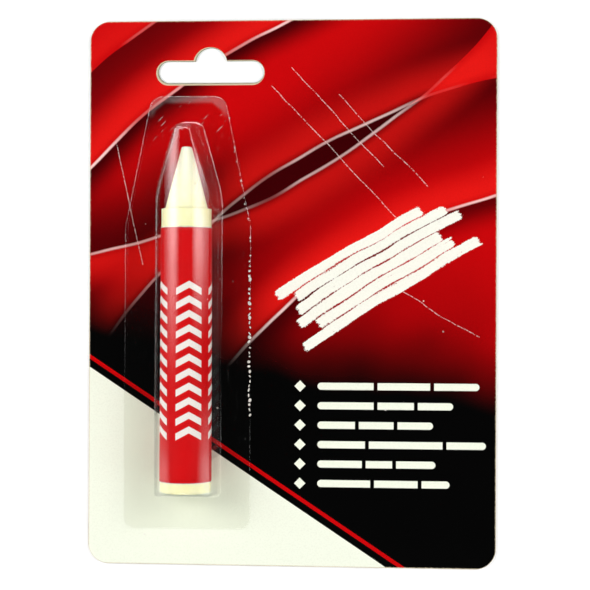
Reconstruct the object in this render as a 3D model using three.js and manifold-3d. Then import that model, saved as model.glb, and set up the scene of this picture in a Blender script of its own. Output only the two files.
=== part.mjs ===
// A wax scratch-repair crayon in a clear blister on a hanging card.
// Millimetres, +Z up: the pack lies on its back, and +Y points to the card's hanging slot.
// The origin is the middle of the card's back face.

import * as THREE from 'three';
import { mergeVertices } from 'three/addons/utils/BufferGeometryUtils.js';
import Module from 'manifold-3d';

const wasm = await Module();
wasm.setup();

// Wax stick, measured from its butt end
const crayonLength = 100;
const waxButtRadius = 7.4;
const waxShoulderRadius = 7.25;
const buttChamfer = 0.4;
const coneLength = 18;
const coneBaseRadius = 6.2;
const tipRadius = 1.45;
const tipChamfer = 0.25;

// Paper wrapper, rolled round the cylinder and glued on itself along a lap
const wrapperLength = 73.5;
const bareButtLength = 3.1;
const paperThickness = 0.12;
const paperGap = 0.05;
const lapWidth = 5;
const lapRampWidth = 2;
const lapGlue = 0.05;

// Room for the crayon inside the bubble
const slideTravel = 5.8;
const crayonLift = 0.3;
const topClearance = 0.45;
const sideClearance = 1.15;
const buttClearance = 0.3;
const noseClearance = 1.3;
const tipClearance = 0.5;

// Blister film: a bubble with drafted walls and an arched roof, on a flat flange
const filmThickness = 0.35;
const wallDraft = THREE.MathUtils.degToRad(3);
const sealCoat = 0.02;
const bubbleButtCornerRadius = 1.2;
const bubbleShoulderRadius = 27;
const bubbleNoseCornerRadius = 3.2;
const flangeLeftMargin = 10.05;
const flangeRightMargin = 8.5;
const flangeBottomMargin = 10.35;
const flangeTopMargin = 8.7;
const flangeTopWidth = 21.8;
const flangeTaperLead = 4.7;
const flangeBottomCornerRadius = 3;
const flangeShoulderRadius = 8;
const flangeTopCornerRadius = 4;

// Backing card
const cardWidth = 120;
const cardThickness = 0.6;
const cardCornerRadius = 6;
const flangeFromCardLeft = 10.65;
const flangeFromCardBottom = 10.65;

// Hanging slot: a bar with round ends, and a round head that stands above its top edge
const slotLength = 32.2;
const slotHeight = 7.35;
const slotHeadRadius = 5.1;
const slotHeadRise = 3.9;
const slotFromCardLeft = 19.8;
const slotFromFlange = 3.2;
const slotFromCardTop = 11.75;

// Fineness of round shapes
const roundSegments = 48;
const arcDivisions = 5;

// How far a cutting solid runs past the material that it cuts
const cutOverrun = 1;

// Sizes that follow from the ones above; y runs along the crayon from its butt
const shoulderY = crayonLength - coneLength;
const coneSlope = (coneBaseRadius - tipRadius) / coneLength;
const wrapperRadius = waxButtRadius + paperGap + paperThickness;
const lapRadius = wrapperRadius + lapGlue + paperThickness;
const axisHeight = crayonLift + lapRadius;
const draftSlope = Math.tan(wallDraft);

// Bubble walls inside, at the height of the crayon's axis
const cavityHalfWidth = wrapperRadius + sideClearance;
const cavityButtY = -(buttClearance + waxButtRadius * draftSlope);
const cavityNoseY = crayonLength + slideTravel + tipClearance;
const cavityRise = wrapperRadius + topClearance;

// Bubble walls outside, where they meet the flange
const footSpread = filmThickness + axisHeight * draftSlope;
const footHalfWidth = cavityHalfWidth + footSpread;
const footButtY = cavityButtY - footSpread;
const footNoseY = cavityNoseY + footSpread;

// Flange, seen from the crayon's butt
const flangeLeft = -(footHalfWidth + flangeLeftMargin);
const flangeRight = footHalfWidth + flangeRightMargin;
const flangeBottom = footButtY - flangeBottomMargin;
const flangeTop = footNoseY + flangeTopMargin;

// Card, seen from its lower left corner
const crayonX = flangeFromCardLeft - flangeLeft;
const crayonY = flangeFromCardBottom - flangeBottom;
const slotBottomY = crayonY + flangeTop + slotFromFlange;
const slotTopY = slotBottomY + slotHeight;
const cardHeight = slotTopY + slotFromCardTop;

function corner(x, y, radius) {
  return { point: new THREE.Vector2(x, y), radius };
}

// A closed outline with straight sides and an arc at each corner; the corners run anticlockwise
function roundedOutline(corners) {
  const outline = new THREE.Shape();
  corners.forEach(({ point, radius }, index) => {
    const before = corners.at(index - 1).point;
    const after = corners[(index + 1) % corners.length].point;
    const arriving = point.clone().sub(before).normalize();
    const leaving = after.clone().sub(point).normalize();
    const inward = leaving.clone().sub(arriving).normalize();
    const halfTurn = Math.acos(arriving.dot(leaving)) / 2;
    const centre = point.clone().addScaledVector(inward, radius / Math.cos(halfTurn));
    const startAngle = arriving.angle() - Math.PI / 2;
    outline.absarc(centre.x, centre.y, radius, startAngle, startAngle + 2 * halfTurn, false);
  });
  return outline;
}

// A closed body between two outlines with as many points, at two heights
function loft(lowOutline, lowZ, highOutline, highZ) {
  const ring = (outline, z) => outline.getPoints(arcDivisions).flatMap(({ x, y }) => [x, y, z]);
  const lowRing = ring(lowOutline, lowZ);
  const highRing = ring(highOutline, highZ);
  const count = lowRing.length / 3;
  const triangles = [];
  for (let here = 0; here < count; here += 1) {
    const next = (here + 1) % count;
    triangles.push(here, next, count + next);
    triangles.push(here, count + next, count + here);
  }
  for (let here = 1; here < count - 1; here += 1) {
    triangles.push(0, here + 1, here);
    triangles.push(count, count + here, count + here + 1);
  }
  const geometry = new THREE.BufferGeometry();
  geometry.setAttribute('position', new THREE.Float32BufferAttribute([...lowRing, ...highRing], 3));
  geometry.setIndex(triangles);
  return geometry;
}

// A three.js geometry as a solid that can be joined and cut
function solid(geometry) {
  const bare = geometry.clone();
  bare.deleteAttribute('normal');
  bare.deleteAttribute('uv');
  const merged = mergeVertices(bare);
  return new wasm.Manifold(new wasm.Mesh({
    numProp: 3,
    vertProperties: new Float32Array(merged.attributes.position.array),
    triVerts: new Uint32Array(merged.index.array),
  }));
}

function geometryOf(body) {
  const mesh = body.getMesh();
  const geometry = new THREE.BufferGeometry();
  geometry.setAttribute('position', new THREE.BufferAttribute(mesh.vertProperties, 3));
  geometry.setIndex(new THREE.BufferAttribute(mesh.triVerts, 1));
  geometry.computeVertexNormals();
  return geometry;
}

function named(name, geometry, material) {
  const mesh = new THREE.Mesh(geometry, material);
  mesh.name = name;
  return mesh;
}

// The stick's radius along its cylinder, which a mould draft narrows towards the shoulder
function waxRadiusAt(y) {
  return THREE.MathUtils.lerp(waxButtRadius, waxShoulderRadius, y / shoulderY);
}

function waxStickGeometry() {
  const profile = [
    [0, 0],
    [waxButtRadius - buttChamfer, 0],
    [waxRadiusAt(buttChamfer), buttChamfer],
    [waxShoulderRadius, shoulderY],
    [coneBaseRadius, shoulderY],
    [tipRadius, crayonLength - tipChamfer],
    [tipRadius - tipChamfer, crayonLength],
    [0, crayonLength],
  ];
  const points = profile.map(([radius, y]) => new THREE.Vector2(radius, y));
  return new THREE.LatheGeometry(points, roundSegments);
}

// The paper strip seen from its end: one turn, a ramp over its own starting edge, and the lap
function wrapperOutline(innerRadius) {
  const step = (2 * Math.PI) / roundSegments;
  const lapSteps = Math.ceil(lapWidth / innerRadius / step);
  const rampAngle = lapRampWidth / innerRadius;
  const middleOfLap = (lapSteps * step) / 2;
  const inside = [];
  const outside = [];
  for (let count = 0; count <= roundSegments + lapSteps; count += 1) {
    const turned = count * step;
    const raised = THREE.MathUtils.smoothstep(turned, 2 * Math.PI - rampAngle, 2 * Math.PI);
    const radius = innerRadius + raised * (paperThickness + lapGlue);
    const angle = turned - middleOfLap + Math.PI / 2;
    const direction = new THREE.Vector2(Math.cos(angle), Math.sin(angle));
    inside.push(direction.clone().multiplyScalar(radius));
    outside.unshift(direction.multiplyScalar(radius + paperThickness));
  }
  return new THREE.Shape([...inside, ...outside]);
}

function paperWrapperGeometry() {
  const lowRadius = waxRadiusAt(bareButtLength) + paperGap;
  const highRadius = waxRadiusAt(bareButtLength + wrapperLength) + paperGap;
  const geometry = new THREE.ExtrudeGeometry(wrapperOutline(lowRadius), {
    depth: wrapperLength,
    bevelEnabled: false,
  });
  geometry.rotateX(-Math.PI / 2);
  const places = geometry.attributes.position;
  for (let index = 0; index < places.count; index += 1) {
    const share = places.getY(index) / wrapperLength;
    const narrowed = THREE.MathUtils.lerp(1, highRadius / lowRadius, share);
    places.setX(index, places.getX(index) * narrowed);
    places.setZ(index, places.getZ(index) * narrowed);
  }
  geometry.translate(0, bareButtLength, 0);
  geometry.computeVertexNormals();
  return geometry;
}

// The bubble's walls cut level: level 0 is the crayon's axis, and growth is 0 inside the film
function bubblePlan(level, growth) {
  const spread = growth - level * draftSlope;
  const halfWidth = cavityHalfWidth + spread;
  const buttY = cavityButtY - spread;
  const noseY = cavityNoseY + spread;
  const taperY = shoulderY + slideTravel;
  const taperHalfWidth = waxShoulderRadius + noseClearance + spread * Math.hypot(1, coneSlope);
  const cheekY = taperY + (taperHalfWidth - halfWidth) / coneSlope;
  const noseHalfWidth = taperHalfWidth - (noseY - taperY) * coneSlope;
  const buttRadius = bubbleButtCornerRadius + growth;
  const noseRadius = bubbleNoseCornerRadius + growth;
  return roundedOutline([
    corner(-halfWidth, buttY, buttRadius),
    corner(halfWidth, buttY, buttRadius),
    corner(halfWidth, cheekY, bubbleShoulderRadius),
    corner(noseHalfWidth, noseY, noseRadius),
    corner(-noseHalfWidth, noseY, noseRadius),
    corner(-halfWidth, cheekY, bubbleShoulderRadius),
  ]);
}

// One face of the bubble, inner or outer, as a solid: drafted walls under an arched roof
function bubbleSolid(lowLevel, growth) {
  const halfWidth = cavityHalfWidth + growth;
  const rise = cavityRise + growth;
  const highLevel = rise + cutOverrun;
  const walls = loft(bubblePlan(lowLevel, growth), lowLevel, bubblePlan(highLevel, growth), highLevel);

  const flare = halfWidth - lowLevel * draftSlope + cutOverrun;
  const archEnd = new THREE.Shape();
  archEnd.moveTo(-flare, lowLevel - cutOverrun);
  archEnd.lineTo(flare, lowLevel - cutOverrun);
  archEnd.absellipse(0, 0, halfWidth, rise, 0, Math.PI, false, 0);
  const roofLength = footNoseY - footButtY + 2 * cutOverrun;
  const roof = new THREE.ExtrudeGeometry(archEnd, {
    depth: roofLength,
    bevelEnabled: false,
    curveSegments: roundSegments / 4,
  });
  roof.rotateX(Math.PI / 2);
  roof.translate(0, footNoseY + cutOverrun, 0);
  return solid(walls).intersect(solid(roof));
}

function blisterGeometry() {
  const baseLevel = sealCoat - axisHeight;
  const flangeMiddle = (flangeLeft + flangeRight) / 2;
  const taperY = shoulderY - flangeTaperLead;
  const outline = roundedOutline([
    corner(flangeLeft, flangeBottom, flangeBottomCornerRadius),
    corner(flangeRight, flangeBottom, flangeBottomCornerRadius),
    corner(flangeRight, taperY, flangeShoulderRadius),
    corner(flangeMiddle + flangeTopWidth / 2, flangeTop, flangeTopCornerRadius),
    corner(flangeMiddle - flangeTopWidth / 2, flangeTop, flangeTopCornerRadius),
    corner(flangeLeft, taperY, flangeShoulderRadius),
  ]);
  const flange = loft(outline, baseLevel, outline, baseLevel + filmThickness);
  const outer = bubbleSolid(baseLevel, filmThickness);
  const inner = bubbleSolid(baseLevel - cutOverrun, 0);
  return geometryOf(solid(flange).add(outer).subtract(inner));
}

function slotOutline() {
  const endRadius = slotHeight / 2;
  const middleY = slotBottomY + endRadius;
  const leftX = slotFromCardLeft + endRadius;
  const rightX = slotFromCardLeft + slotLength - endRadius;
  const headX = (leftX + rightX) / 2;
  const headY = slotTopY + slotHeadRise - slotHeadRadius;
  const headAngle = Math.asin((slotTopY - headY) / slotHeadRadius);
  const slot = new THREE.Path();
  slot.absarc(leftX, middleY, endRadius, Math.PI / 2, (3 * Math.PI) / 2, false);
  slot.absarc(rightX, middleY, endRadius, -Math.PI / 2, Math.PI / 2, false);
  slot.absarc(headX, headY, slotHeadRadius, headAngle, Math.PI - headAngle, false);
  return slot;
}

function backingCardGeometry() {
  const outline = roundedOutline([
    corner(0, 0, cardCornerRadius),
    corner(cardWidth, 0, cardCornerRadius),
    corner(cardWidth, cardHeight, cardCornerRadius),
    corner(0, cardHeight, cardCornerRadius),
  ]);
  outline.holes.push(slotOutline());
  return new THREE.ExtrudeGeometry(outline, {
    depth: cardThickness,
    bevelEnabled: false,
    curveSegments: 2 * arcDivisions,
  });
}

const printedBoard = new THREE.MeshStandardMaterial({ color: '#b3101b', roughness: 0.35, metalness: 0 });
const clearFilm = new THREE.MeshStandardMaterial({
  color: '#f2f5f3',
  roughness: 0.08,
  metalness: 0,
  transparent: true,
  opacity: 0.25,
});
const creamWax = new THREE.MeshStandardMaterial({ color: '#fdf9d2', roughness: 0.5, metalness: 0 });
const printedPaper = new THREE.MeshStandardMaterial({ color: '#d0101c', roughness: 0.4, metalness: 0 });

// The crayon and its blister share the crayon's axis, with y along it from the butt
const crayon = new THREE.Group();
crayon.add(named('wax_stick', waxStickGeometry(), creamWax));
crayon.add(named('paper_wrapper', paperWrapperGeometry(), printedPaper));

const sealedCrayon = new THREE.Group();
sealedCrayon.position.set(crayonX, crayonY, cardThickness + axisHeight);
sealedCrayon.add(crayon);
sealedCrayon.add(named('blister', blisterGeometry(), clearFilm));

// The card's lower left corner is moved so that the card's middle is the origin
const pack = new THREE.Group();
pack.position.set(-cardWidth / 2, -cardHeight / 2, 0);
pack.add(named('backing_card', backingCardGeometry(), printedBoard));
pack.add(sealedCrayon);

export default pack;
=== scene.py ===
import math

import bmesh
import bpy
from mathutils import Matrix, Vector, noise


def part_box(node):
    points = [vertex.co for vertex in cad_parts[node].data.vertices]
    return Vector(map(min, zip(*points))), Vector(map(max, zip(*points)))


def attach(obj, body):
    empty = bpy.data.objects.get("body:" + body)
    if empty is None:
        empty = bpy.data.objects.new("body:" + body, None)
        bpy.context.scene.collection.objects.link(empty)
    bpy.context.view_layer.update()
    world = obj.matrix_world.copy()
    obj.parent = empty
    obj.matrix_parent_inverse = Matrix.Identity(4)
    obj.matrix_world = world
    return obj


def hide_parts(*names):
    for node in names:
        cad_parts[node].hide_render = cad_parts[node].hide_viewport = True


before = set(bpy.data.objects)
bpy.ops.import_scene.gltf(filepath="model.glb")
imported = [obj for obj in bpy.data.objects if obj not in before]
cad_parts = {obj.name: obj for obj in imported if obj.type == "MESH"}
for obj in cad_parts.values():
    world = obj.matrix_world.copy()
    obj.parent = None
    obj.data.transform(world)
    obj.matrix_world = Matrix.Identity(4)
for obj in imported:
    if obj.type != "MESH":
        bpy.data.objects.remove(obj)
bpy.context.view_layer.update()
print("frame loaded with", len(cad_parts), "nodes")

mm = 0.001  # lengths below are in millimetres, and meshes are made in metres


# an operator that adds a Math node to its wire's tree
def mathSign(operation, swapped=False):
    def work(wire, *other):
        values = (*other, wire) if swapped else (wire, *other)
        return wire.desk.math(operation, *values)

    return work


class Wire:
    # one output socket, which plain arithmetic works on
    __add__, __radd__ = mathSign("ADD"), mathSign("ADD", True)
    __sub__, __rsub__ = mathSign("SUBTRACT"), mathSign("SUBTRACT", True)
    __mul__, __rmul__ = mathSign("MULTIPLY"), mathSign("MULTIPLY", True)
    __truediv__ = mathSign("DIVIDE")
    __pow__ = mathSign("POWER")
    __mod__ = mathSign("FLOORED_MODULO")
    __abs__ = mathSign("ABSOLUTE")
    __gt__ = mathSign("GREATER_THAN")
    __lt__ = mathSign("LESS_THAN")

    def __init__(self, desk, socket):
        self.desk = desk
        self.socket = socket

    def output(self, name):
        return Wire(self.desk, self.socket.node.outputs[name])


class Desk:
    # a node tree while it is being wired
    def __init__(self, tree):
        self.tree = tree

    # any node: its type, its settings, then the values or links of its sockets
    def node(self, kind, settings=None, sockets=None, out=0):
        made = self.tree.nodes.new(kind)
        for name, value in (settings or {}).items():
            setattr(made, name, value)
        for key, value in (sockets or {}).items():
            if isinstance(value, Wire):
                self.tree.links.new(value.socket, made.inputs[key])
            elif made.inputs[key].type == "RGBA":
                made.inputs[key].default_value = (*value, 1.0)
            else:
                made.inputs[key].default_value = value
        return Wire(self, made.outputs[out]) if len(made.outputs) else made

    def math(self, operation, *values):
        return self.node("ShaderNodeMath", {"operation": operation}, dict(enumerate(values)))

    # 0 below low, 1 above high, eased between; high may be the smaller one
    def ease(self, value, low, high):
        sockets = {"Value": value, "From Min": low, "From Max": high}
        return self.node("ShaderNodeMapRange", {"interpolation_type": "SMOOTHSTEP"}, sockets)

    def mix(self, share, under, over, blend="MIX"):
        settings = {"data_type": "RGBA", "blend_type": blend}
        return self.node("ShaderNodeMix", settings, {0: share, 6: under, 7: over}, 2)

    # the piece's own place in millimetres
    def place(self, stretch=(1, 1, 1)):
        spot = self.node("ShaderNodeTexCoord", out="Object")
        scale = [share / mm for share in stretch]
        return self.node("ShaderNodeMapping", {}, {"Vector": spot, "Scale": scale})

    def split(self, vector):
        parts = self.node("ShaderNodeSeparateXYZ", {}, {"Vector": vector})
        return parts, parts.output("Y"), parts.output("Z")

    def join(self, x, y, z=0.0):
        return self.node("ShaderNodeCombineXYZ", {}, {"X": x, "Y": y, "Z": z})

    # grain is its size in the units of the vector
    def cloud(self, vector, grain, detail, rough=0.5):
        sockets = {"Vector": vector, "Scale": 1 / grain, "Detail": detail, "Roughness": rough}
        return self.node("ShaderNodeTexNoise", {}, sockets)

    # small round specks, one at most in each cell, on a share of the cells
    def specks(self, vector, cell, radius, share):
        sockets = {"Vector": vector, "Scale": 1 / cell}
        spot = self.node("ShaderNodeTexVoronoi", {}, sockets)
        chance = self.node("ShaderNodeSeparateColor", {}, {"Color": spot.output("Color")})
        size = chance.output("Green") * radius / cell
        return self.ease(spot, size, size * 0.5) * (chance < share)

    def bump(self, height, depth, strength):
        sockets = {"Height": height, "Distance": depth * mm, "Strength": strength}
        return self.node("ShaderNodeBump", {}, sockets)

    # one shader over another
    def layer(self, share, under, over):
        return self.node("ShaderNodeMixShader", {}, {0: share, 1: under, 2: over})


def dimmed(colour, share):
    return [part * share for part in colour]


# a material and the desk that wires it
def newFinish(name):
    material = bpy.data.materials.new(name)
    material.use_nodes = True
    material.node_tree.nodes.clear()
    return material, Desk(material.node_tree)


def useSurface(desk, shader):
    desk.node("ShaderNodeOutputMaterial", {}, {"Surface": shader})


# an opaque surface; fixed holds the sockets that are the same all over it
def useSolid(desk, colour, rough, normal, fixed):
    sockets = {"Base Color": colour, "Roughness": rough, "Normal": normal, **fixed}
    useSurface(desk, desk.node("ShaderNodeBsdfPrincipled", {}, sockets))


def clamp(value):
    return min(1.0, max(0.0, value))


def between(low, high, share):
    return low + (high - low) * share


# from 0 to 1 in even steps
def shares(steps):
    return [step / steps for step in range(steps + 1)]


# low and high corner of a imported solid, in millimetres
def boxOf(node):
    low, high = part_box(node)
    return [value / mm for value in low], [value / mm for value in high]


# places that every piece is set out from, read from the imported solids
cardLow, cardHigh = boxOf("backing_card")
filmLow, filmHigh = boxOf("blister")
waxLow, waxHigh = boxOf("wax_stick")
cardFace = cardHigh[2]
axisX = (waxLow[0] + waxHigh[0]) / 2
axisZ = (waxLow[2] + waxHigh[2]) / 2
buttY = waxLow[1]

cameraSet = {
    "place": (34.78, -1.95, 439.18),  # from the middle of the card's face, as is the aim
    "aim": (1.2, -0.63, 0.0),
    "roll": 0.23,
    "lens": 91.525,
    "sensor": 36.0,
    "nearest": 10.0,
}


def newObject(name, data):
    made = bpy.data.objects.new(name, data)
    bpy.context.collection.objects.link(made)
    return made


# puts a camera or lamp in its place, looking at a point, with its top towards the card's top
def aimAt(thing, start, end, roll=0.0):
    ahead = (Vector(end) - Vector(start)).normalized()
    side = ahead.cross(Vector((0, 1, 0))).normalized()
    turn = Matrix((side, side.cross(ahead), -ahead)).transposed()
    thing.location = start
    thing.rotation_mode = "QUATERNION"
    thing.rotation_quaternion = (turn @ Matrix.Rotation(math.radians(roll), 3, "Z")).to_quaternion()


def makeCamera():
    data = bpy.data.cameras.new("shotCamera")
    data.lens = cameraSet["lens"]
    data.sensor_width = cameraSet["sensor"]
    data.clip_start = cameraSet["nearest"] * mm
    camera = newObject("shotCamera", data)
    lift = Vector((0, 0, cardFace))
    start, end = ((Vector(cameraSet[key]) + lift) * mm for key in ("place", "aim"))
    aimAt(camera, start, end, cameraSet["roll"])
    bpy.context.scene.camera = camera


makeCamera()
print("camera set")

studio = {
    # place, aim, width and height in metres, brightness, how far up the glow starts and is full, and the
    # share of it that is left at the sides
    "panels": {
        "leftBox": ((-0.515, 0.14, 0.52), (-0.03, 0.0, 0.0), (0.65, 0.44), 8.2, (0.0, 0.4), 0.12),
        "rightBox": ((0.5, 0.18, 0.49), (-0.03, 0.0, 0.0), (0.42, 0.46), 7.4, (0.0, 0.26), 0.25),
        "leftLow": ((-0.68, -0.24, 0.28), (-0.03, 0.0, 0.0), (0.5, 0.36), 2.25, (1.0, 0.7), 0.05),
        "rightLow": ((0.64, -0.24, 0.34), (-0.03, 0.0, 0.0), (0.5, 0.36), 3.6, (1.0, 0.7), 0.05),
        "frontLow": ((0.0, -0.33, 0.5), (-0.03, 0.0, 0.0), (0.8, 0.26), 3.6, (1.0, 0.6), 0.8),
        "topGlint": ((-0.04, 0.42, 0.42), (-0.03, 0.05, 0.0), (0.5, 0.42), 9.0, (0.0, 0.15), 0.5),
    },
    "zenith": 0.015,
    "horizon": 0.45,
    "skyFade": (0.26, 0.02),  # height in the sky where the horizon's glow starts and is full
    "floorSize": 5.0,
    "floorDrop": 0.0003,
    "floorTint": (0.9, 0.9, 0.9),
    "floorStain": 0.985,
    "floorGlow": 0.12,
}


def makeLamp(name, place, aim, size, brightness, fade, edge):
    data = bpy.data.lights.new(name, "AREA")
    data.shape = "RECTANGLE"
    data.size, data.size_y = size
    data.energy = brightness * math.pi * data.size * data.size_y
    lamp = newObject(name, data)
    aimAt(lamp, place, aim)
    data.use_nodes = True
    data.node_tree.nodes.clear()
    desk = Desk(data.node_tree)
    spot = desk.node("ShaderNodeNewGeometry", out="Parametric")
    across, up = desk.split(spot)[:2]  # from 0 to 1 over the panel
    bell = desk.ease(abs(across - 0.5), 0.5, 0.05)
    glow = desk.ease(up, *fade) * between(edge, 1.0, bell)
    light = desk.node("ShaderNodeEmission", {}, {"Strength": glow})
    desk.node("ShaderNodeOutputLight", {}, {"Surface": light})
    return lamp


# dark overhead and pale towards the horizon, as in a studio with white walls
def makeWorld():
    world = bpy.data.worlds.new("studioWorld")
    world.use_nodes = True
    world.node_tree.nodes.clear()
    desk = Desk(world.node_tree)
    direction = desk.node("ShaderNodeTexCoord", out="Generated")
    height = desk.split(direction)[2]
    level = between(studio["zenith"], studio["horizon"], desk.ease(height, *studio["skyFade"]))
    shade = desk.join(level, level, level)
    light = desk.node("ShaderNodeBackground", {}, {"Color": shade, "Strength": 1.0})
    desk.node("ShaderNodeOutputWorld", {}, {"Surface": light})
    bpy.context.scene.world = world


def paleFloor():
    material, desk = newFinish("paleFloor")
    grain = desk.cloud(desk.place(), 9.0, 4.0)
    tint = desk.mix(grain, dimmed(studio["floorTint"], studio["floorStain"]), studio["floorTint"])
    matt = desk.node("ShaderNodeBsdfDiffuse", {}, {"Color": tint})
    seen = desk.node("ShaderNodeLightPath")
    direct = desk.math("MAXIMUM", seen, seen.output("Is Glossy Ray"))
    direct = desk.math("MAXIMUM", direct, seen.output("Is Transmission Ray"))
    glow = desk.node("ShaderNodeEmission", {}, {"Strength": direct * studio["floorGlow"]})
    useSurface(desk, desk.node("ShaderNodeAddShader", {}, {0: matt, 1: glow}))
    return material


def makeFloor():
    half = studio["floorSize"] / 2
    low = -studio["floorDrop"]
    mesh = bpy.data.meshes.new("floor")
    places = [(-half, -half, low), (half, -half, low), (half, half, low), (-half, half, low)]
    mesh.from_pydata(places, [], [(0, 1, 2, 3)])
    mesh.materials.append(paleFloor())
    floor = newObject("floor", mesh)


for lampName, row in studio["panels"].items():
    lamp = makeLamp(lampName, *row)
    lamp.visible_diffuse = lampName != "topGlint"  # which shows only in reflections
makeWorld()
makeFloor()
bpy.context.scene.view_settings.view_transform = "Standard"
print("studio lit")


# points and outward normals round a closed outline; corners are (x, y, radius), anticlockwise
def roundedLoop(corners, arcSteps, sideSteps):
    count = len(corners)
    arcs = []
    for index, (x, y, radius) in enumerate(corners):
        here = Vector((x, y))
        arriving = (here - Vector(corners[index - 1][:2])).normalized()
        leaving = (Vector(corners[(index + 1) % count][:2]) - here).normalized()
        halfTurn = arriving.angle(leaving) / 2
        centre = here + (leaving - arriving).normalized() * (radius / math.cos(halfTurn))
        start = math.atan2(arriving.y, arriving.x) - math.pi / 2
        arc = []
        for share in shares(arcSteps[index]):
            angle = start + 2 * halfTurn * share
            out = Vector((math.cos(angle), math.sin(angle)))
            arc.append((centre + out * radius, out))
        arcs.append(arc)
    loop = []
    for index, arc in enumerate(arcs):
        loop += arc
        start, out = arc[-1]
        end = arcs[(index + 1) % count][0][0]
        loop += [(start.lerp(end, share), out) for share in shares(sideSteps[index])[1:-1]]
    return loop


# faces between neighbouring rings of points
def stripFaces(ringCount, ringSize, closed=True):
    faces = []
    around = ringSize if closed else ringSize - 1
    for ring in range(ringCount - 1):
        low, high = ring * ringSize, (ring + 1) * ringSize
        for here in range(around):
            after = (here + 1) % ringSize
            faces.append((low + here, low + after, high + after, high + here))
    return faces


def addPiece(name, mesh, materials, body, node):
    piece = newObject(name, mesh)
    for material in materials:
        mesh.materials.append(material)
    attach(piece, body)
    if node:
        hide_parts(node)
    triangles = sum(len(face.vertices) - 2 for face in mesh.polygons)
    print("made", name, "with", triangles, "triangles before modifiers")
    return piece


# a piece made as one face gets its thickness inwards, with its second finish on the inside
def thicken(piece, name, thickness):
    sheet = piece.modifiers.new(name, "SOLIDIFY")
    sheet.thickness = thickness * mm
    sheet.offset = -1.0
    sheet.material_offset = 1
    return sheet


# a mesh opened for editing, with points nearer than reach merged and its faces turned out
def openShell(mesh, reach):
    shell = bmesh.new()
    shell.from_mesh(mesh)
    bmesh.ops.remove_doubles(shell, verts=shell.verts[:], dist=reach * mm)
    bmesh.ops.recalc_face_normals(shell, faces=shell.faces[:])
    return shell


card = {
    "cornerRadius": 6.0,
    "cornerSteps": 16,
    "sideSteps": 8,
    "edgeSteps": 4,
    "slotSteps": 24,  # on each of the slot's arcs
    "slotLength": 32.2,
    "slotHeight": 7.35,
    "slotFromLeft": 19.8,
    "slotFromTop": 11.75,
    "headRadius": 5.1,
    "headRise": 3.9,
    "frontRounding": 0.14,  # the die presses the printed edge down a little
    "backRounding": 0.05,
    "slotBevel": 0.5,
    "slotBevelDepth": 0.42,
    "slotShadeWidening": 0.5,  # the bevel is wider on the slot's left and lower sides, to carry the painted shadow there
    "slotFray": 0.48,  # how far the torn board stands into the slot
    "white": (0.855, 0.89, 0.75),
    "red": (0.54, 0.002, 0.003),
    "deepRed": (0.03, 0.0, 0.001),
    "brightRed": (0.74, 0.009, 0.007),
    "shine": (1.0, 0.74, 0.7),
    "black": (0.0012, 0.0012, 0.0012),
    "chalk": (0.90, 0.90, 0.80),
    "board": (0.66, 0.57, 0.40),
    # painted shade on the slot's cut face, darker still deeper down in the hole
    "slotShadedBoard": (0.60, 0.49, 0.33),
    "slotShadow": (0.27, 0.28, 0.18),
    "backTint": (0.74, 0.71, 0.64),
    "specular": 0.28,
    "roughness": 0.07,
    "dust": (5.5, 0.55, 0.22),  # size of a cell, largest radius, share of the cells
    "flecks": (3.2, 0.5, 0.3),
    # sweeps in the paint: radius from the centre, width of the dark side, darkness, shine of the edge
    "sweepCentres": [(98.0, -118.0), (-92.0, 205.0)],
    "sweeps": [
        [(241, 24, 0.8, 0.5), (221, 9, 0.95, 0.85), (184, 30, 0.9, 0.6), (151, 10, 0.85, 0.9)],
        [(196, 30, 0.85, 0.55)],
    ],
    # fine scratches in the paint, from end to end
    "scratches": [(-6, 61, 33, 20), (0, 66, 27, 37), (14, 58, 40, 31), (-52, 44, -44, 8), (30, 2, 55, -13)],
    "sink": (2.0, -24.0),  # height on the card where the paint starts to sink into black, and is black
    "rubStart": (-2.0, -9.0),
    "rubEnd": (52.0, 23.0),
    "rubLane": 3.2,
    "rubLanes": 6,
    "borderAtLeft": -22.0,  # where the white corner starts on the card's left edge
    "borderSlope": 0.66,
    "borderLine": (2.6, 0.56),  # how far from the border, and half its width
    "rowTop": -24.5,
    "rowPitch": 5.7,
    "rowCount": 6,
    "rowLeft": 8.0,
    "rowHalf": (20.0, 4.5),  # half the length of a row, and how much it changes
    "rowGaps": [(0.36, 1.7), (0.71, 2.9)],  # place in the row, and how it changes from row to row
    "bulletGap": 5.2,
}


# outline of the hanging slot, enlarged by grow: a bar with round ends and a round head
def slotLoop(grow):
    end = card["slotHeight"] / 2
    top = cardHigh[1] - card["slotFromTop"]
    middleY = top - end
    left = cardLow[0] + card["slotFromLeft"] + end
    right = left + card["slotLength"] - 2 * end
    headX = (left + right) / 2
    headY = top + card["headRise"] - card["headRadius"]
    # the bevel is widened on the left and lower sides, where its darker colour is painted shadow
    shadeWidening = card["slotShadeWidening"]
    headReach = card["headRadius"] + grow * (1 - shadeWidening)
    headAngle = math.asin((top + grow * (1 - shadeWidening) - headY) / headReach)
    arcs = [
        (left, middleY, end, math.pi / 2, 3 * math.pi / 2),
        (right, middleY, end, -math.pi / 2, math.pi / 2),
        (headX, headY, card["headRadius"], headAngle, math.pi - headAngle),
    ]
    points = []
    for x, y, radius, start, stop in arcs:
        for share in shares(card["slotSteps"]):
            angle = between(start, stop, share)
            across, up = math.cos(angle), math.sin(angle)
            reach = radius + grow * (1 - shadeWidening * (across + up))
            points.append((x + reach * across, y + reach * up))
    return points


# the torn board makes the slot smaller
def frayedLoop(grow):
    return slotLoop(grow - card["slotFray"])


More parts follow.
